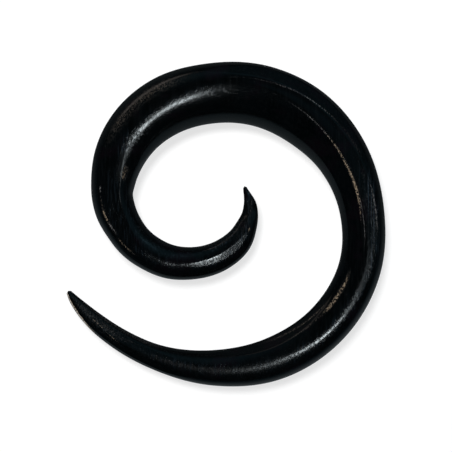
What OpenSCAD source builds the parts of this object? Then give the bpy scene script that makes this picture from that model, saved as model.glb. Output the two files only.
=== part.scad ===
// Spiral ear taper: a tapered rod of black wood, carved in one piece as a flat spiral with two pointed ends.
// It lies on the plane z = 0 as it would by itself, with the middle of its plan at the origin.
// Turns are in degrees, clockwise from +X as seen from above, and grow from the inner tip to the outer tip.

/* [Size] */
// Length of the spiral's plan along Y, from edge to edge
across = 52.5; // [40:0.5:70]
// Width of the taper at its thickest section, the gauge that it is worn by
gauge = 10; // [6:0.5:12]

/* [Carving] */
// Depth of the filed flats, as a share of their full depth
flat_share = 1; // [0:0.1:1.3]
// Radius that rounds the two tips
tip_radius = 0.3; // [0.1:0.05:0.6]

/* [Smoothness] */
// Sides of a section
sides = 28; // [16:2:40]
// Distance between sections along the centre line
ring_gap = 1.3; // [0.8:0.1:3]

/* [Hidden] */

// Columns of SECTIONS
TURN = 0;    // turn of the section, in degrees
REACH = 1;   // centre line's distance from the middle of the spiral, in hundredths of across
WIDTH = 2;   // width in plan, in hundredths of gauge
HEIGHT = 3;  // height, in hundredths of the width
CREST = 4;   // how far the crest is moved outward, in hundredths of half the width
SECTIONS = [
    [-11.2, 13.95,    5,    90,   0],
    [   -5,  14.2,    9,    92,   0],
    [    0,  14.6, 12.5,    94,   0],
    [   10,  15.6, 20.5,    96,   0],
    [   20,  16.4,   26,    99,   0],
    [   35,  17.3,   35,    99,   0],
    [   50,  18.5, 43.5,    95, -18],
    [   70,  19.6,   49,    97, -17],
    [  100,  21.4,   53,   102, -11],
    [  115,  22.6, 55.5, 101.5,  -4],
    [  130,  23.6,   57,   103,   0],
    [  145, 24.75, 59.5,   102,   0],
    [  157, 25.45, 61.5,   101,   0],
    [  170, 26.45, 65.5,   102,   0],
    [  180,    27,   67, 106.5,   0],
    [  190, 27.05, 72.5, 101.5,   4],
    [  205,  27.4, 81.5,    96,   8],
    [  225,  28.1,   90,    92,   9],
    [  250,  29.3, 96.5,    92,  16],
    [  275,  31.2, 97.5,  90.5,  29],
    [  305,  36.3,  100,    91,  34],
    [  325,  40.6,   98,    93,  25],
    [  345,  45.4,   85,    96,  12],
    [  365,  49.9,   72,   101,  10],
    [  385,  54.1,   69,   104,  12],
    [  405,  55.8,   71,   100,  10],
    [  425,  55.4, 70.5,  97.5,  -3],
    [  445,  53.5,   58,   103,   2],
    [  465,  51.8, 41.5,    98,   0],
    [  480,  50.9,   35,    96,   0],
    [  490, 50.65, 29.5,    94,   0],
    [  497, 50.55, 21.5,    92,   0],
    [  501,  50.5, 14.5,    90,   0],
    [  504,  50.3,    7,    90,   0],
];

// Columns of FLATS, the flats that a file left on the taper
START = 0;       // turn where the flat starts
STOP = 1;        // turn where it ends
START_LEAN = 2;  // lean of its face at the start, in degrees outward from straight up
STOP_LEAN = 3;   // lean of its face at the end
DEPTH = 4;       // depth in its middle, in hundredths of half the width
SOFT = 5;        // how far its edges are eased over, in the same unit
FLATS = [
    [ 36, 102,  16,  11,   2, 1.2],
    [133, 220,   6,   2,  13, 0.5],
    [206, 392, -55, -56,   8,   6],
    [290, 392,   4,  16, 4.5,   1],
    [276, 356,  36,  37, 6.5, 1.2],
    [288, 402, -28, -37,   8, 0.6],
    [396, 446, -60, -58,   9, 1.5],
    [452, 512,  34,  38,  10, 1.5],
    [458, 512, -16, -14,   8, 1.5],
    [460, 512,  60,  62,   8,   3],
    [-11,  33,  46, -60,  11, 0.6],
    [-11,  33, 102,  -6,  11, 0.6],
];

// Turns of the three sections that touch the surface: two under the thick band, one under the outer arm
CONTACTS = [250, 317, 421];

half = 0.5;
percent = 0.01;
least = 0.000001;
last = len(SECTIONS) - 1;
first_turn = SECTIONS[0][TURN];
last_turn = SECTIONS[last][TURN];

// Slope of a column at row i of SECTIONS, for a curve that runs smoothly through every row
function step_slope(i, column) =
    (SECTIONS[i + 1][column] - SECTIONS[i][column]) / (SECTIONS[i + 1][TURN] - SECTIONS[i][TURN]);
function slope(i, column) =
    i == 0 ? step_slope(0, column)
    : i == last ? step_slope(last - 1, column)
    : let (before = SECTIONS[i][TURN] - SECTIONS[i - 1][TURN], after = SECTIONS[i + 1][TURN] - SECTIONS[i][TURN])
        (step_slope(i - 1, column) * after + step_slope(i, column) * before) / (before + after);

// Value of a column at any turn
function row_before(turn, i = 0) = i >= last - 1 || turn < SECTIONS[i + 1][TURN] ? i : row_before(turn, i + 1);
function value(turn, column) =
    let (
        i = row_before(turn),
        run = SECTIONS[i + 1][TURN] - SECTIONS[i][TURN],
        s = (turn - SECTIONS[i][TURN]) / run
    )
    (1 + 2 * s) * pow(1 - s, 2) * SECTIONS[i][column] + s * pow(1 - s, 2) * run * slope(i, column)
    + s * s * (3 - 2 * s) * SECTIONS[i + 1][column] - s * s * (1 - s) * run * slope(i + 1, column);

// Centre line, its direction, and the level direction square to it that points out of the spiral
function centre(turn) = value(turn, REACH) * percent * across * [cos(turn), -sin(turn), 0];
function direction(turn) =
    let (step = 0.5, d = centre(min(turn + step, last_turn)) - centre(max(turn - step, first_turn))) d / norm(d);
function outward(turn) = let (d = direction(turn)) [-d.y, d.x, 0];

// How much of its width the taper has left this close to a tip
function tip_share(turn) =
    let (
        from_tip = min(turn - first_turn, last_turn - turn) * PI / 180 * norm(centre(turn)),
        s = min(from_tip / tip_radius, 1)
    )
    sqrt(1 - pow(1 - s, 2));
function half_width(turn) = half * percent * gauge * value(turn, WIDTH) * tip_share(turn);

// Section with a half width of 1: an oval whose crest may be moved outward
function oval(turn) =
    [for (i = [0:sides - 1])
        let (a = 360 * i / sides, lift = max(sin(a), 0))
        [cos(a) + value(turn, CREST) * percent * lift * lift, sin(a) * value(turn, HEIGHT) * percent]];

// How much is filed away from a point that stands over the level of a flat, whose edges are eased over
function cut(over, soft) = over > soft ? over : pow(max(over + soft, 0), 2) / (4 * soft);

// The section with one flat filed on it
function filed(section, turn, flat) =
    turn <= flat[START] || turn >= flat[STOP] ? section
    : let (
        s = (turn - flat[START]) / (flat[STOP] - flat[START]),
        lean = flat[START_LEAN] + s * (flat[STOP_LEAN] - flat[START_LEAN]),
        face = [sin(lean), cos(lean)],
        share = percent * flat_share * sin(180 * s),
        level = max([for (p = section) p * face]) - flat[DEPTH] * share,
        soft = max(flat[SOFT] * share, least)
    )
    [for (p = section) p - face * cut(p * face - level, soft)];
function filed_by(section, turn, k = 0) =
    k == len(FLATS) ? section : filed_by(filed(section, turn, FLATS[k]), turn, k + 1);

// A ring of points at a turn, in the spiral's own level plane
function ring(turn) =
    [for (p = filed_by(oval(turn), turn)) centre(turn) + half_width(turn) * (p.x * outward(turn) + [0, 0, p.y])];

// Turns of the rings, evenly spaced between the rows of SECTIONS
turns = [for (i = [0:last - 1])
    let (
        from = SECTIONS[i][TURN],
        to = SECTIONS[i + 1][TURN],
        pieces = ceil(norm(centre(to) - centre(from)) / ring_gap)
    )
    for (j = [i == 0 ? 1 : 0:pieces - 1]) from + (to - from) * j / pieces];
rings = len(turns);

level_points = [
    for (turn = turns) for (p = ring(turn)) p,
    centre(first_turn),
    centre(last_turn),
];

// The spiral leans until the three contact sections reach the surface, and its plan is centred on the origin
function underside(turn) = centre(turn) - [0, 0, half_width(turn) * value(turn, HEIGHT) * percent];
function unit(v) = v / norm(v);
seat = [for (turn = CONTACTS) underside(turn)];
up_across = unit(cross(seat[2] - seat[0], seat[1] - seat[0]));
up = up_across.z < 0 ? -up_across : up_across;
lean_x = unit(cross([0, 1, 0], up));
lean_y = cross(up, lean_x);
leaned_points = [for (p = level_points) [p * lean_x, p * lean_y, p * up]];
function middle(axis) =
    let (values = [for (p = leaned_points) p[axis]]) half * (min(values) + max(values));
shift = [middle(0), middle(1), min([for (p = leaned_points) p.z])];
points = [for (p = leaned_points) p - shift];

// Faces between neighbouring rings, and the fans that close the tips
inner_tip = rings * sides;
outer_tip = inner_tip + 1;
function at(k, i) = k * sides + i % sides;
faces = [
    for (k = [0:rings - 2]) for (i = [0:sides - 1])
        each [[at(k, i + 1), at(k, i), at(k + 1, i)], [at(k, i + 1), at(k + 1, i), at(k + 1, i + 1)]],
    for (i = [0:sides - 1]) [inner_tip, at(0, i), at(0, i + 1)],
    for (i = [0:sides - 1]) [outer_tip, at(rings - 1, i + 1), at(rings - 1, i)],
];

module spiral_taper() {
    color([0.05, 0.055, 0.06]) polyhedron(points, faces);
}

spiral_taper();
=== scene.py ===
import math

import bpy
import numpy as np
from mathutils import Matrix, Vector


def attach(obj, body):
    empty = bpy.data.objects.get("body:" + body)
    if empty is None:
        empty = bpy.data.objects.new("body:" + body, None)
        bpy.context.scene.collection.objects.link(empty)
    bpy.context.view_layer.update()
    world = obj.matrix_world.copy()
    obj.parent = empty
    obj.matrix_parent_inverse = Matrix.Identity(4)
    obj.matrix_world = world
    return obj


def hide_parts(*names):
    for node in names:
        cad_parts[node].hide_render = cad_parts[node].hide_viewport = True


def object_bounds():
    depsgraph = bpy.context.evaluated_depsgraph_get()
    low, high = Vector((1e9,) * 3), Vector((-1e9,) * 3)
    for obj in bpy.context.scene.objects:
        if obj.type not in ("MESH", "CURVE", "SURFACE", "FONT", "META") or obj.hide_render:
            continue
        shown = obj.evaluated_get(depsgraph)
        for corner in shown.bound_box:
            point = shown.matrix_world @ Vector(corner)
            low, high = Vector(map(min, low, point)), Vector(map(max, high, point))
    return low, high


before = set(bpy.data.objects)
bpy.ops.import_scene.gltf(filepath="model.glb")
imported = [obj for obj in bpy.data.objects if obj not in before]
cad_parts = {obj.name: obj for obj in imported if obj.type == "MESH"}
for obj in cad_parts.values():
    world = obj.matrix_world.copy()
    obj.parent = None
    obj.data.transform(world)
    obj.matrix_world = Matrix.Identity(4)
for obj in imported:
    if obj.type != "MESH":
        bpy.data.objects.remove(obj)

cad_low, cad_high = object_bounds()

# A spiral ear taper carved from black wood, lying on a pale surface and seen from straight above.
# Lengths are in metres. Turns are in degrees, clockwise from +X as seen from above, and grow outward.
# Places are in hundredths of the taper's width, from its inner edge to its outer edge.

# Driving sizes: the spiral in plan from edge to edge, the taper's greatest width, and the radius of its tips
ACROSS = 0.0525
GAUGE = 0.010
TIP_RADIUS = 0.0003

# Units of the tables
PERCENT = 0.01
MILLIMETRE = 0.001
MICROMETRE = 1e-6

# Mesh of the taper: sides on the upper half of a section and on each quarter below, and the gap between rings
UPPER_SIDES = 96
LOWER_SIDES = 24
RING_GAP = 0.00024

# Columns of SECTIONS: turn, distance of the centre line from the middle of the spiral in hundredths of
# ACROSS, width in hundredths of GAUGE, height in hundredths of the width, and how far the crest is moved
# outward in hundredths of half the width
TURN, REACH, WIDTH, HEIGHT, CREST = range(5)
SECTIONS = np.array([
    [-11.2, 13.95, 5, 90, 0],
    [-5, 14.2, 9, 92, 0],
    [0, 14.6, 12.5, 94, 0],
    [10, 15.6, 20.5, 96, 0],
    [20, 16.4, 26, 99, 0],
    [35, 17.3, 35, 99, 0],
    [50, 18.5, 43.5, 95, -18],
    [70, 19.6, 49, 97, -17],
    [100, 21.4, 53, 102, -11],
    [115, 22.6, 55.5, 101.5, -4],
    [130, 23.6, 57, 103, 0],
    [145, 24.75, 59.5, 102, 0],
    [157, 25.45, 61.5, 101, 0],
    [170, 26.45, 65.5, 102, 0],
    [180, 27, 67, 106.5, 0],
    [190, 27.05, 72.5, 101.5, 4],
    [205, 27.4, 81.5, 96, 8],
    [225, 28.1, 90, 92, 9],
    [250, 29.3, 96.5, 92, 16],
    [275, 31.2, 97.5, 90.5, 29],
    [305, 36.3, 100, 91, 34],
    [325, 40.6, 98, 93, 25],
    [345, 45.4, 85, 96, 12],
    [365, 49.9, 72, 101, 10],
    [385, 54.1, 69, 104, 12],
    [405, 55.8, 71, 100, 10],
    [425, 55.4, 70.5, 97.5, -3],
    [445, 53.5, 58, 103, 2],
    [465, 51.8, 41.5, 98, 0],
    [480, 50.9, 35, 96, 0],
    [490, 50.65, 29.5, 94, 0],
    [497, 50.55, 21.5, 92, 0],
    [501, 50.5, 14.5, 90, 0],
    [504, 50.3, 7, 90, 0],
])

# Columns of FLATS, in the order of filing: turns where a filed flat starts and stops, lean of its face at the
# start and at the stop in degrees outward, its depth, and how soft its edge is, both in hundredths of half
# the width
START, STOP, START_LEAN, STOP_LEAN, DEPTH, SOFT = range(6)
FLATS = np.array([
    [36, 102, 16, 11, 2, 1.2],
    [133, 220, 6, 2, 13, 0.5],
    [206, 392, -55, -56, 8, 14],
    [290, 392, 4, 16, 4.5, 1],
    [276, 356, 36, 37, 6.5, 1.2],
    [288, 402, -28, -37, 8, 0.6],
    [396, 446, -60, -58, 9, 0.4],
    [452, 512, 34, 38, 10, 1.5],
    [458, 512, -16, -14, 8, 1.5],
    [460, 512, 60, 62, 8, 3],
    [-11, 33, 46, -60, 11, 0.6],
    [-11, 33, 102, -6, 11, 0.6],
])

# Columns of DENTS: turn, place, length and breadth in millimetres, and depth in micrometres
DENTS = np.array([
    [12, 56, 1.2, 0.9, 60],
    [35, 66, 0.5, 0.4, 40],
    [140, 60, 2.2, 1.6, 14],
    [181, 45, 1.2, 3.4, 12],
    [196, 28, 1.8, 1.6, 8],
    [236, 62, 4, 2, 16],
    [325, 40, 2.6, 0.8, 20],
    [352, 68, 5, 1.2, 30],
    [432, 44, 3.5, 1.4, 16],
    [485, 42, 2.4, 1.2, 45],
])

# Columns of GROOVES: turns where a shallow groove starts and stops, its places there, its half breadth in
# hundredths of the width, and its depth in micrometres
GROOVES = np.array([
    [205, 250, 92, 92, 3, 20],
    [280, 345, 69, 68, 5, 35],
])

# Columns of the five tables of marks: turns where a mark starts and stops, its places there, its half
# breadths there in hundredths of the width, and how strong it is

# Lines and blotches of bare wood, and painted highlights and a painted reflection: tan glints of the warm
# lamp on the left ridge, a dent, the outer side and the inner side, and a pale strip of floor reflected along
# the outer tip's side
WEAR_AND_GLINTS = np.array([
    [33.5, 38, 65, 69, 2.2, 2.2, 1.2],
    # Painted highlight: tan glints of the warm lamp along the left ridge
    [137, 154, 73, 75.5, 2.2, 2.6, 0.48],
    [162, 175, 75.5, 75.5, 2.8, 2.2, 0.62],
    [171, 181, 75.5, 75, 1.4, 1.6, 0.34],
    # Painted highlight: a tan glint of the warm lamp on a dent
    [190, 202, 26, 29, 7, 7, 0.4],
    # Painted highlight: speckled tan glints of the warm lamp along the outer side of the thick band
    [204, 272, 78, 81, 12, 10, 0.23],
    # Bare wood along the right ridge, with a painted highlight on it
    [331, 351, 50, 45.5, 0.7, 2, 0.6],
    [342, 365, 46.5, 45, 1.6, 3.2, 0.85],
    [357, 370, 45, 42, 2.4, 1, 0.5],
    # Painted highlight: tan glints of the warm lamp on the inner side
    [386, 406, 27.5, 23.5, 4.5, 3.5, 0.6],
    [394, 430, 16, 5, 2.5, 2, 0.28],
    [400, 422, 23, 20, 3, 2, 0.22],
    [478, 487, 62, 48, 2.2, 1.8, 0.4],
    [484, 493, 49, 42, 1.8, 2, 0.42],
    # Painted reflection: a pale strip of the floor reflected along the outer tip's side
    [486, 510, 97, 82, 3, 12, 1.6],
    [491, 497, 40, 34, 2.4, 2.4, 0.3],
])

# Pale lines and veils: painted highlights, sheen and reflections on ridges, creases, facets and edges, and
# rubbed wear along the right ridge
PALE_SHEEN_AND_WEAR = np.array([
    # Painted reflection: a faint veil of the warm lamp by the inner tip
    [-8, 60, 55, 30, 40, 26, 0.1],
    # Painted highlight along a crease near the inner tip
    [4, 23, 74, 41, 2, 2, 0.4],
    # Painted highlight: glints along the left ridge
    [155, 166, 73.5, 75.5, 3, 2.6, 0.5],
    [181.5, 185.5, 75, 75, 1.6, 1.6, 0.7],
    # Painted highlight: a glow by the dent
    [187, 204, 27, 30, 12, 12, 0.1],
    # Painted highlight: the window's light along the outer ridge
    [282, 310, 72, 74, 0.6, 0.7, 0.25],
    [298, 337, 73, 78, 0.8, 1.2, 0.42],
    # Rubbed lines along the right ridge, with a painted highlight on them
    [305, 326, 58.5, 52, 0.5, 0.6, 0.42],
    [318, 341, 54.5, 46.5, 0.6, 0.8, 0.52],
    # Painted highlight: the window's light where the outer ridge widens
    [333, 350, 78, 80, 2, 4, 0.15],
    # Painted highlight: the warm lamp on a small step
    [355, 374, 77, 78.5, 1.8, 2.4, 0.5],
    # Painted highlight: a veil where the long highlight on the outer arm begins
    [356, 394, 73, 66, 6, 5, 0.12],
    # Rubbed line at the end of the right ridge, with a painted highlight on it
    [357, 378, 46.5, 49.5, 1.2, 0.9, 0.5],
    # Painted highlight: a veil along the dim tail of that long highlight
    [422, 476, 57, 42, 7, 10, 0.15],
    # Painted reflection along the outer tip's inner edge
    [458, 504, 4, 8, 8, 12, 0.17],
    # Painted sheen on the outer tip's facets
    [466, 503, 24, 44, 1.6, 3, 0.2],
    [470, 503, 38, 52, 1.2, 3, 0.24],
    [474, 500, 68, 66, 1.5, 3, 0.14],
    [474, 506, 34, 42, 24, 26, 0.19],
])

# Scuffed patches, with more open pores and scratches
SCUFFS = np.array([
    [-8, 50, 40, 60, 45, 30, 0.4],
    [16, 90, 14, 16, 9, 9, 0.9],
    [26, 98, 58, 55, 14, 12, 1],
    [84, 206, 26, 24, 18, 18, 0.35],
    [96, 156, 54, 60, 12, 12, 0.3],
    [132, 206, 45, 45, 24, 24, 0.26],
    [204, 232, 44, 45, 12, 11, 0.8],
    [218, 250, 44, 45, 10, 9, 0.5],
    [236, 282, 43, 54, 8, 8, 0.55],
    [350, 392, 73, 69, 15, 10, 1],
    [380, 430, 67, 56, 12, 12, 0.65],
    [412, 478, 60, 38, 14, 18, 0.32],
    [474, 506, 50, 50, 45, 45, 0.25],
])

# Patches with less polish
DULLED = np.array([
    [104, 140, 58, 60, 9, 9, 0.5],
    [187, 217, 36, 42, 9, 8, 1.1],
    [193, 229, 41, 43, 8, 7, 0.55],
    [264, 292, 55, 61, 7, 7, 0.4],
    [414, 478, 60, 42, 20, 20, 0.75],
])

# Finely sanded patches, with few open pores
SANDED = np.array([
    [281, 324, 57, 60, 14, 14, 1.0],
])

# Attributes of the mesh that hold the marks
MARKS = {"wear_and_glints": WEAR_AND_GLINTS, "pale": PALE_SHEEN_AND_WEAR, "scuff": SCUFFS, "dull": DULLED, "sanded": SANDED}

# Least half breadth of a mark in hundredths of the width, its share of full strength at its very ends, and
# how fast it grows from there, in full strengths per length of the mark
LEAST_BREADTH = 0.3
END_SHARE = 0.2
END_RISE = 3

# Height over the widest level below which dents fade out, as a share of half the width
DENT_FADE = 0.3

# Turns of the three sections that touch the surface
CONTACTS = [250, 317, 421]

FIRST_TURN, LAST_TURN = SECTIONS[0][TURN], SECTIONS[-1][TURN]

# Noises of the wood: features per millimetre square to the grain and along it, detail, roughness, distortion
GRAIN = {
    "fibres": (3.2, 0.14, 3, 0.6, 0.3),
    "strokes": (4.5, 1.2, 2, 0.5, 0.0),
    "speckle": (5.0, 3.5, 2, 0.6, 0.0),
    "clouds": (0.35, 0.12, 4, 0.6, 0.0),
    "tints": (0.22, 0.3, 2, 0.5, 0.0),
    "scratches": (4.5, 0.06, 2, 0.5, 0.0),
    "chips": (5.5, 2.8, 2, 0.6, 0.0),
}

# Columns of RAMPS: what is taken in at the start and at the stop of a smooth ramp, and what it gives there
RAMPS = {
    "pores": (0.53, 0.66, 0.0, 1.0),
    "pores_where_scuffed": (0.15, 0.85, 0.4, 1.3),
    "pores_where_sanded": (0.0, 1.0, 1.0, 0.35),
    "clouds": (0.35, 0.65, 0.0, 1.0),
    "tints": (0.52, 0.66, 0.0, 1.0),
    "fibres": (0.45, 0.70, 0.0, 1.0),
    "scratches": (0.54, 0.66, 0.0, 1.0),
    "chips": (0.37, 0.65, 0.2, 1.4),
    # Ramps for rubbed and bare wood, which also carry painted highlights and reflections
    "rubbed_and_painted_light": (0.02, 1.1, 0.0, 1.0),
    "tanned_and_glints": (0.02, 0.35, 0.0, 1.0),
    "bared_and_reflection": (0.9, 1.4, 0.0, 1.0),
    "polish": (0.35, 0.65, 0.09, 0.15),
    "light_below": (0.12, -0.55, 0.0, 1.0),
    "light_in_front": (0.25, -0.55, 0.035, 0.18),
    "light_at_back_right": (0.05, 0.75, 0.0, 0.12),
    "light_high_up": (0.05, 0.6, 0.0, 1.0),
}

# Colours of the wood and of the highlights and reflections painted on it, linear
DEEP_BLACK = (0.0004, 0.0007, 0.0008, 1)
SOFT_BLACK = (0.0008, 0.0014, 0.0018, 1)
VIOLET_BLACK = (0.0020, 0.0013, 0.0022, 1)
FIBRE_BLACK = (0.0020, 0.0026, 0.0029, 1)
SCRATCH_GREY = (0.013, 0.020, 0.027, 1)
# Pale grey of rubbed wood, also used for painted highlights, sheen and reflections
RUBBED_AND_SHEEN_GREY = (0.19, 0.185, 0.185, 1)
# Worn grey and tan of bare wood, also used for painted glints of the warm lamp
WORN_AND_SHEEN_GREY = (0.14, 0.13, 0.12, 1)
WORN_AND_GLINT_TAN = (0.30, 0.23, 0.16, 1)
# Light bare wood, also used for a painted reflection of the floor
BARE_WOOD_AND_REFLECTION = (0.62, 0.57, 0.50, 1)

# How much a full scuff helps pores to open
SCUFF_PORES = 0.06

# What open pores, scuffs, lost polish, and bare wood and painted highlights add to the roughness at full
# strength
PORE_ROUGHNESS = 0.16
SCUFF_ROUGHNESS = 0.04
DULL_ROUGHNESS = 0.2
BARE_AND_GLINT_ROUGHNESS = 0.25

# Heights of the fine relief, in millimetres: fibres, pores, and speckle on polished and on scuffed wood
FIBRE_RELIEF = 0.004
PORE_RELIEF = -0.010
POLISHED_RELIEF = 0.0016
SCUFFED_RELIEF = 0.006

# The floor: half its length, its grey, its roughness and its own soft glow
FLOOR_REACH = 1.5
FLOOR_GREY = (0.34, 0.34, 0.34, 1)
FLOOR_ROUGHNESS = 0.9
FLOOR_GLOW = 0.74

# Columns of LIGHTS: name, azimuth from +X and tilt from straight up in degrees, distance, size both ways,
# power in watts, colour, and whether it lights matt surfaces only, as the others show in gloss only
LIGHTS = [
    ("cool_light", -60, 24, 0.6, (0.11, 0.11), 0.62, (0.88, 0.97, 1.0), False),
    ("dim_lamp", -30, 28, 0.6, (0.2, 0.2), 0.07, (0.8, 0.93, 1.0), False),
    ("warm_lamp", 126, 80, 0.6, (0.45, 0.16), 0.11, (1.0, 0.88, 0.80), False),
    ("window", 50, 50, 0.8, (0.16, 0.16), 0.035, (0.4, 0.8, 1.0), False),
    ("floor_light", 118, 18, 0.6, (0.17, 0.17), 3.3, (1, 1, 1), True),
]

# The room around: colours of its light from above and from below, its least strength, and the level direction
# of its back right side
HIGH_COLOUR = (0.35, 0.78, 1.0, 1)
LOW_COLOUR = (0.78, 0.93, 1.0, 1)
ROOM_GLOW = 0.008
BACK_RIGHT = (0.57, 0.82)

# The camera: the photograph's frame, the spiral's middle in it and ACROSS in it, in pixels, the distance from
# the taper, and the sensor's width in millimetres
FRAME_PX = 452
MIDDLE_PX = (200, 195)
ACROSS_PX = 325
CAMERA_DISTANCE = 0.30
SENSOR_WIDTH = 36


def row_slopes(column):
    """Slope of a column at each row, for a curve that runs smoothly through every row."""
    gaps = np.diff(SECTIONS[:, TURN])
    steps = np.diff(SECTIONS[:, column]) / gaps
    inner = (steps[:-1] * gaps[1:] + steps[1:] * gaps[:-1]) / (gaps[:-1] + gaps[1:])
    return np.concatenate([steps[:1], inner, steps[-1:]])


def value(turns, column):
    """A column's value at any turns."""
    rows = SECTIONS[:, TURN]
    i = np.clip(np.searchsorted(rows, turns, side="right") - 1, 0, len(rows) - 2)
    run = rows[i + 1] - rows[i]
    s = (turns - rows[i]) / run
    slopes = row_slopes(column)
    low, high = SECTIONS[i, column], SECTIONS[i + 1, column]
    return (
        (1 + 2 * s) * (1 - s) ** 2 * low + s * (1 - s) ** 2 * run * slopes[i]
        + s * s * (3 - 2 * s) * high - s * s * (1 - s) * run * slopes[i + 1]
    )


def centre(turns):
    """Points of the centre line, in the spiral's own level plane."""
    reach = value(turns, REACH) * PERCENT * ACROSS
    angle = np.radians(turns)
    return np.stack([reach * np.cos(angle), -reach * np.sin(angle), np.zeros_like(reach)], -1)


def outward(turns):
    """Level directions square to the centre line that point out of the spiral."""
    step = 0.5
    run = centre(np.minimum(turns + step, LAST_TURN)) - centre(np.maximum(turns - step, FIRST_TURN))
    run /= np.linalg.norm(run, axis=-1, keepdims=True)
    return np.stack([-run[..., 1], run[..., 0], np.zeros(run.shape[:-1])], -1)


def half_width(turns):
    """Half the taper's width, rounded off at the two tips."""
    from_tip = np.minimum(turns - FIRST_TURN, LAST_TURN - turns)
    arc = np.radians(from_tip) * np.linalg.norm(centre(turns), axis=-1)
    s = np.minimum(arc / TIP_RADIUS, 1)
    return 0.5 * PERCENT * GAUGE * value(turns, WIDTH) * np.sqrt(1 - (1 - s) ** 2)


def even_turns():
    """Turns of rings that lie evenly along the centre line."""
    samples = 6000
    fine = np.linspace(FIRST_TURN, LAST_TURN, samples)
    steps = np.linalg.norm(np.diff(centre(fine), axis=0), axis=1)
    arc = np.concatenate([[0], np.cumsum(steps)])
    count = int(arc[-1] / RING_GAP)
    return np.interp(np.linspace(0, arc[-1], count + 2)[1:-1], arc, fine)


def filed(section, turns, flat):
    """The sections with one flat filed on them, its edge rounded over."""
    least = 1e-6
    s = np.clip((turns - flat[START]) / (flat[STOP] - flat[START]), 0, 1)
    lean = np.radians(flat[START_LEAN] + s * (flat[STOP_LEAN] - flat[START_LEAN]))
    face = np.stack([np.sin(lean), np.cos(lean)], -1)[:, None, :]
    reach = (section * face).sum(-1)
    envelope = np.sin(math.pi * s)
    level = reach.max(1) - flat[DEPTH] * PERCENT * envelope
    soft = np.maximum(flat[SOFT] * PERCENT * envelope, least)[:, None]
    over = reach - level[:, None]
    eased = np.where(over > soft, over, np.maximum(over + soft, 0) ** 2 / (4 * soft))
    eased = np.where(((s > 0) & (s < 1))[:, None], eased, 0)
    return section - face * eased[..., None]


def section_angles():
    """Angles of a section's points, from the bottom round by the outer edge, closer together above."""
    outer_low = np.linspace(-math.pi / 2, 0, LOWER_SIDES, endpoint=False)
    upper = np.linspace(0, math.pi, UPPER_SIDES, endpoint=False)
    inner_low = np.linspace(math.pi, 1.5 * math.pi, LOWER_SIDES, endpoint=False)
    return np.concatenate([outer_low, upper, inner_low])


def taper_sections(turns):
    """Sections with a half width of 1: ovals with a moved crest, filed flat in places."""
    angle = section_angles()[None, :]
    along, up = np.cos(angle), np.sin(angle)
    lift = np.maximum(up, 0)
    height = (value(turns, HEIGHT) * PERCENT)[:, None]
    crest = (value(turns, CREST) * PERCENT)[:, None]
    section = np.stack([along + crest * lift ** 2, up * height], -1)
    for flat in FLATS:
        section = filed(section, turns, flat)
    return section


def unit(v):
    """A vector of length 1 in the direction of v."""
    return v / np.linalg.norm(v)


def resting_axes():
    """The axes of the part at rest, as seen in the spiral's own plane: three contact sections touch down."""
    turns = np.array(CONTACTS, float)
    seat = centre(turns)
    seat[:, 2] -= half_width(turns) * value(turns, HEIGHT) * PERCENT
    up = unit(np.cross(seat[2] - seat[0], seat[1] - seat[0]))
    up = -up if up[2] < 0 else up
    lean_x = unit(np.cross([0, 1, 0], up))
    return np.stack([lean_x, np.cross(up, lean_x), up], 1)


def sunk_depth(turns, place, width):
    """How deep the dents and grooves lie at each point."""
    depth = np.zeros_like(place)
    arc = np.linalg.norm(centre(turns), axis=-1)[:, None] * math.pi / 180
    for turn, middle, length, breadth, sink in DENTS:
        along = (turns[:, None] - turn) * arc / (length * MILLIMETRE / 2)
        across = (place - middle * PERCENT) * width / (breadth * MILLIMETRE / 2)
        depth += sink * MICROMETRE * np.exp(-along ** 2 - across ** 2)
    for start, stop, start_place, stop_place, breadth, sink in GROOVES:
        s = np.clip((turns - start) / (stop - start), 0, 1)[:, None]
        off = (place - (start_place + s * (stop_place - start_place)) * PERCENT) / (breadth * PERCENT)
        depth += sink * MICROMETRE * np.sin(math.pi * s) * np.exp(-off ** 2)
    return depth


def marked(turns, place, table):
    """How strongly the rows of a table of marks mark each point."""
    mark = np.zeros_like(place)
    for start, stop, start_place, stop_place, start_breadth, stop_breadth, strength in table:
        s = (turns - start) / (stop - start)
        ends = np.clip(np.minimum(s, 1 - s) * END_RISE + END_SHARE, 0, 1)[:, None]
        middle = start_place + s * (stop_place - start_place)
        breadth = np.maximum(start_breadth + s * (stop_breadth - start_breadth), LEAST_BREADTH)
        off = (place - (middle * PERCENT)[:, None]) / (breadth * PERCENT)[:, None]
        mark = np.maximum(mark, strength * ends * np.exp(-off ** 2))
    return mark


def taper_points():
    """Rings of points on the resting part, the two tips, the middle of the spiral, and each point's marks."""
    turns = even_turns()
    section = taper_sections(turns)
    half = half_width(turns)[:, None]
    place = (section[..., 0] + 1) / 2
    above = np.clip(section[..., 1] / DENT_FADE, 0, 1)
    sink = sunk_depth(turns, place, 2 * half) * above
    side = outward(turns)[:, None, :]
    rise = np.array([0, 0, 1.0])
    height = half * section[..., 1] - sink
    rings = centre(turns)[:, None, :] + (half * section[..., 0])[..., None] * side + height[..., None] * rise
    tips = centre(np.array([FIRST_TURN, LAST_TURN]))
    axes = resting_axes()
    rings, tips = rings @ axes, tips @ axes
    low = np.minimum(rings.min((0, 1)), tips.min(0))
    high = np.maximum(rings.max((0, 1)), tips.max(0))
    cad_middle = (np.array(cad_low) + np.array(cad_high)) / 2
    shift = np.array([(low[0] + high[0]) / 2 - cad_middle[0], (low[1] + high[1]) / 2 - cad_middle[1], low[2]])
    upper_side = section[..., 1] > 0
    marks = {name: marked(turns, place, table) * upper_side for name, table in MARKS.items()}
    return rings - shift, tips - shift, -shift, marks


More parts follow.
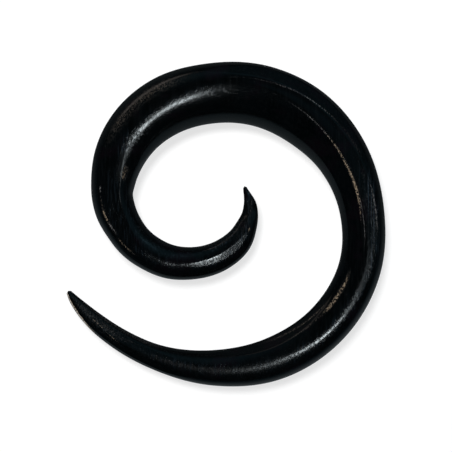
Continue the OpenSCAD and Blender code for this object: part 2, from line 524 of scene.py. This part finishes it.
def build_taper():
    """The taper as one piece, with its marks as attributes of the mesh, and the middle of the spiral."""
    rings, tips, middle, marks = taper_points()
    count, sides = rings.shape[:2]
    points = np.concatenate([rings.reshape(-1, 3), tips])
    inner_tip, outer_tip = count * sides, count * sides + 1
    last_ring = (count - 1) * sides
    faces = []
    for k in range(count - 1):
        for i in range(sides):
            j = (i + 1) % sides
            faces.append((k * sides + i, k * sides + j, (k + 1) * sides + j, (k + 1) * sides + i))
    for i in range(sides):
        j = (i + 1) % sides
        faces.append((inner_tip, j, i))
        faces.append((outer_tip, last_ring + i, last_ring + j))
    mesh = bpy.data.meshes.new("carved_taper")
    mesh.from_pydata([tuple(p) for p in points], [], faces)
    mesh.update()
    mesh.shade_smooth()
    for name, mark in marks.items():
        attribute = mesh.attributes.new(name, "FLOAT", "POINT")
        attribute.data.foreach_set("value", np.concatenate([mark.ravel(), np.zeros(len(tips))]))
    piece = bpy.data.objects.new("carved_taper", mesh)
    bpy.context.scene.collection.objects.link(piece)
    return piece, middle


class Tree:
    """A node tree, with short ways to add nodes and join them."""

    def __init__(self, owner):
        owner.use_nodes = True
        self.nodes = owner.node_tree.nodes
        self.links = owner.node_tree.links

    def add(self, kind, values=None, **settings):
        """A new node with its settings, and with values on its named inputs."""
        node = self.nodes.new(kind)
        for name, setting in settings.items():
            setattr(node, name, setting)
        for name, number in (values or {}).items():
            node.inputs[name].default_value = number
        return node

    def join(self, source, target):
        """Feeds an input from a source, which may be a number or a colour."""
        if isinstance(source, (int, float, tuple)):
            target.default_value = source
        else:
            self.links.new(source, target)

    def noise(self, coordinates, across, along, detail, roughness, distortion):
        """Noise with its own number of features per millimetre across the grain and along it."""
        mapping = self.add("ShaderNodeMapping", vector_type="POINT")
        mapping.inputs["Scale"].default_value = [n / MILLIMETRE for n in (across, along, across)]
        self.join(coordinates, mapping.inputs["Vector"])
        node = self.add("ShaderNodeTexNoise", {
            "Scale": 1.0, "Detail": detail, "Roughness": roughness, "Distortion": distortion})
        self.join(mapping.outputs["Vector"], node.inputs["Vector"])
        return node.outputs["Fac"]

    def ramp(self, source, start, stop, first, last):
        """Source carried smoothly from start..stop to first..last."""
        node = self.add("ShaderNodeMapRange", {
            "From Min": start, "From Max": stop, "To Min": first, "To Max": last},
            interpolation_type="SMOOTHSTEP")
        self.join(source, node.inputs["Value"])
        return node.outputs["Result"]

    def ramped(self, source, name):
        """Source carried by a row of RAMPS."""
        return self.ramp(source, *RAMPS[name])

    def maths(self, operation, first, second):
        """One sum or product."""
        node = self.add("ShaderNodeMath", operation=operation)
        self.join(first, node.inputs[0])
        self.join(second, node.inputs[1])
        return node.outputs["Value"]

    def product(self, first, second):
        """First times second."""
        return self.maths("MULTIPLY", first, second)

    def summed(self, start, parts):
        """Start plus each source times its share."""
        total = start
        for source, share in parts:
            total = self.maths("ADD", total, self.product(source, share))
        return total

    def mixed(self, share, first, second):
        """First colour where share is 0, second colour where it is 1."""
        first_colour, second_colour, result = 6, 7, 2
        node = self.add("ShaderNodeMix", data_type="RGBA")
        self.join(share, node.inputs["Factor"])
        self.join(first, node.inputs[first_colour])
        self.join(second, node.inputs[second_colour])
        return node.outputs[result]


def black_wood():
    """Near-black hardwood with straight fibres and pores along Y, polished by rubbing to a satin finish, with
    lighter abraded patches, and painted highlights and reflections, in places.
    """
    material = bpy.data.materials.new("black_wood")
    tree = Tree(material)
    shader = tree.nodes["Principled BSDF"]
    place = tree.add("ShaderNodeTexCoord").outputs["Object"]
    grain = {name: tree.noise(place, *row) for name, row in GRAIN.items()}
    mark = {name: tree.add("ShaderNodeAttribute", attribute_name=name).outputs["Fac"] for name in MARKS}
    scuff = mark["scuff"]

    # Open pores: short strokes, more of them on scuffed wood and few on sanded wood
    pores = tree.ramped(tree.summed(grain["strokes"], [(scuff, SCUFF_PORES)]), "pores")
    pores = tree.product(pores, tree.ramped(scuff, "pores_where_scuffed"))
    pores = tree.product(pores, tree.ramped(mark["sanded"], "pores_where_sanded"))

    # Colour of sound wood: clouds, a violet tint in places, fibres, and scratches where it is scuffed
    colour = tree.mixed(tree.ramped(grain["clouds"], "clouds"), DEEP_BLACK, SOFT_BLACK)
    colour = tree.mixed(tree.ramped(grain["tints"], "tints"), colour, VIOLET_BLACK)
    colour = tree.mixed(tree.ramped(grain["fibres"], "fibres"), colour, FIBRE_BLACK)
    scratched = tree.product(scuff, tree.ramped(grain["scratches"], "scratches"))
    colour = tree.mixed(scratched, colour, SCRATCH_GREY)

    # Rubbed and bare wood, and painted highlights and reflections, broken up by small chips
    uneven = tree.ramped(grain["chips"], "chips")
    rubbed_and_sheen = tree.ramped(tree.product(mark["pale"], uneven), "rubbed_and_painted_light")
    bare_and_glints = tree.ramped(tree.product(mark["wear_and_glints"], uneven), "rubbed_and_painted_light")
    # Worn colour from grey to tan, which also paints the warm lamp's glints; the lightest wood also paints a
    # reflection of the floor
    worn_and_glint_colour = tree.mixed(tree.ramped(bare_and_glints, "tanned_and_glints"), WORN_AND_SHEEN_GREY, WORN_AND_GLINT_TAN)
    worn_and_glint_colour = tree.mixed(tree.ramped(mark["wear_and_glints"], "bared_and_reflection"), worn_and_glint_colour, BARE_WOOD_AND_REFLECTION)
    colour = tree.mixed(rubbed_and_sheen, colour, RUBBED_AND_SHEEN_GREY)
    colour = tree.mixed(bare_and_glints, colour, worn_and_glint_colour)
    tree.join(colour, shader.inputs["Base Color"])

    # Satin polish, lost where the wood is open, scuffed, dulled or bare, and where highlights are painted
    roughness = tree.summed(tree.ramped(grain["speckle"], "polish"), [
        (pores, PORE_ROUGHNESS),
        (scuff, SCUFF_ROUGHNESS),
        (mark["dull"], DULL_ROUGHNESS),
        (bare_and_glints, BARE_AND_GLINT_ROUGHNESS),
    ])
    tree.join(roughness, shader.inputs["Roughness"])

    # Fine relief of fibres, speckle and pores
    speckle_relief = tree.ramp(scuff, 0.0, 1.0, POLISHED_RELIEF, SCUFFED_RELIEF)
    relief = tree.summed(tree.product(grain["fibres"], FIBRE_RELIEF), [
        (grain["speckle"], speckle_relief),
        (pores, PORE_RELIEF),
    ])
    bump = tree.add("ShaderNodeBump", {"Strength": 1.0, "Distance": MILLIMETRE})
    tree.join(relief, bump.inputs["Height"])
    tree.join(bump.outputs["Normal"], shader.inputs["Normal"])
    return material


def build_floor():
    """A plain pale surface, left out of the gloss."""
    mesh = bpy.data.meshes.new("floor")
    corners = [(x * FLOOR_REACH, y * FLOOR_REACH, 0) for x, y in ((-1, -1), (1, -1), (1, 1), (-1, 1))]
    mesh.from_pydata(corners, [], [(0, 1, 2, 3)])
    floor = bpy.data.objects.new("floor", mesh)
    bpy.context.scene.collection.objects.link(floor)
    material = bpy.data.materials.new("pale_surface")
    shader = Tree(material).nodes["Principled BSDF"]
    shader.inputs["Base Color"].default_value = FLOOR_GREY
    shader.inputs["Roughness"].default_value = FLOOR_ROUGHNESS
    shader.inputs["Specular IOR Level"].default_value = 0.0
    shader.inputs["Emission Color"].default_value = (1, 1, 1, 1)
    shader.inputs["Emission Strength"].default_value = FLOOR_GLOW
    mesh.materials.append(material)
    floor.visible_glossy = False


def direction(azimuth, tilt):
    """Unit vector that leans from straight up by tilt, towards azimuth in degrees from +X."""
    a, t = math.radians(azimuth), math.radians(tilt)
    return Vector((math.sin(t) * math.cos(a), math.sin(t) * math.sin(a), math.cos(t)))


def build_lights():
    """The studio's lamps."""
    for name, azimuth, tilt, distance, size, power, colour, matt_only in LIGHTS:
        light = bpy.data.lights.new(name, "AREA")
        light.shape = "ELLIPSE"
        light.size, light.size_y = size
        light.energy = power
        light.color = colour
        lamp = bpy.data.objects.new(name, light)
        towards = direction(azimuth, tilt)
        lamp.location = towards * distance
        lamp.rotation_mode = "QUATERNION"
        lamp.rotation_quaternion = towards.to_track_quat("Z", "Y")
        lamp.visible_diffuse = matt_only
        lamp.visible_glossy = not matt_only
        bpy.context.scene.collection.objects.link(lamp)


def build_room():
    """Soft light all round: from below, stronger from the front, and from high up at the back and right."""
    world = bpy.data.worlds.new("room")
    bpy.context.scene.world = world
    tree = Tree(world)
    background = tree.nodes["Background"]
    axes = tree.add("ShaderNodeSeparateXYZ")
    tree.join(tree.add("ShaderNodeTexCoord").outputs["Generated"], axes.inputs["Vector"])
    x, y, z = axes.outputs
    below = tree.ramped(z, "light_below")
    from_below = tree.ramped(y, "light_in_front")
    back_right = tree.summed(tree.product(y, BACK_RIGHT[1]), [(x, BACK_RIGHT[0])])
    from_above = tree.ramped(back_right, "light_at_back_right")
    high_up = tree.ramped(z, "light_high_up")
    glow = tree.summed(ROOM_GLOW, [(below, from_below), (high_up, from_above)])
    tree.join(glow, background.inputs["Strength"])
    tree.join(tree.mixed(below, HIGH_COLOUR, LOW_COLOUR), background.inputs["Color"])


def build_camera(spiral_middle):
    """Camera straight above, with the photograph's frame at the taper's mid height."""
    scale = ACROSS / ACROSS_PX
    target = Vector((
        spiral_middle[0] + (FRAME_PX / 2 - MIDDLE_PX[0]) * scale,
        spiral_middle[1] - (FRAME_PX / 2 - MIDDLE_PX[1]) * scale,
        spiral_middle[2],
    ))
    data = bpy.data.cameras.new("camera")
    data.sensor_width = SENSOR_WIDTH
    data.lens = SENSOR_WIDTH * CAMERA_DISTANCE / (FRAME_PX * scale)
    camera = bpy.data.objects.new("camera", data)
    camera.location = target + Vector((0, 0, CAMERA_DISTANCE))
    bpy.context.scene.collection.objects.link(camera)
    bpy.context.scene.camera = camera


taper, spiral_middle = build_taper()
taper.data.materials.append(black_wood())
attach(taper, "root")
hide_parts("spiral_taper")
build_floor()
build_lights()
build_room()
build_camera(spiral_middle)
bpy.context.scene.view_settings.view_transform = "Standard"
